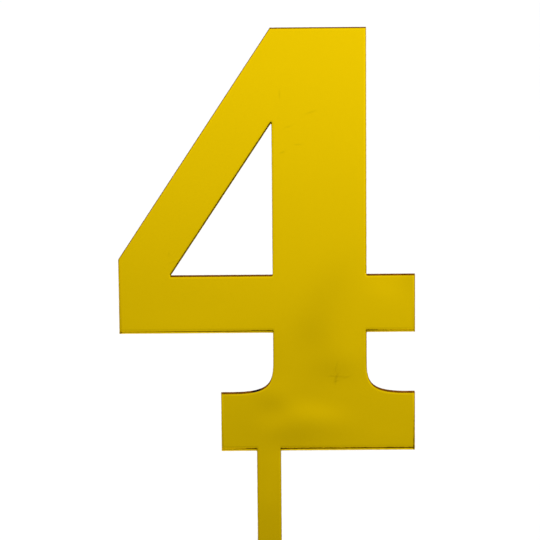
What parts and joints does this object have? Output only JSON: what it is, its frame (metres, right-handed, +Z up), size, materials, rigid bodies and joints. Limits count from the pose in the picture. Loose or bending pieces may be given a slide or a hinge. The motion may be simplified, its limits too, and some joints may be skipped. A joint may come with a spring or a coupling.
{
  "type": "number cake topper",
  "caption": "Flat number four cake topper cut from gold mirror acrylic, with slab feet, a triangular window and a long pointed stem.",
  "frame": {"origin": "on the stem's centreline, level with the underside of the numeral's foot and halfway through the sheet", "axes": "+X to the reader's right, +Y from the mirror face to the painted back, +Z up along the numeral and its stem"},
  "size_m": [0.0691, 0.0022, 0.18],
  "materials": {
    "tinted_acrylic": "clear gold tint, gloss, laser-cut edges",
    "mirror_metal": "vacuum-deposited mirror",
    "back_paint": "satin grey protective paint"
  },
  "bodies": {
    "root": {"acrylic_numeral": "tinted_acrylic", "mirror_film": "mirror_metal", "back_coating": "back_paint"}
  },
  "joints": []
}
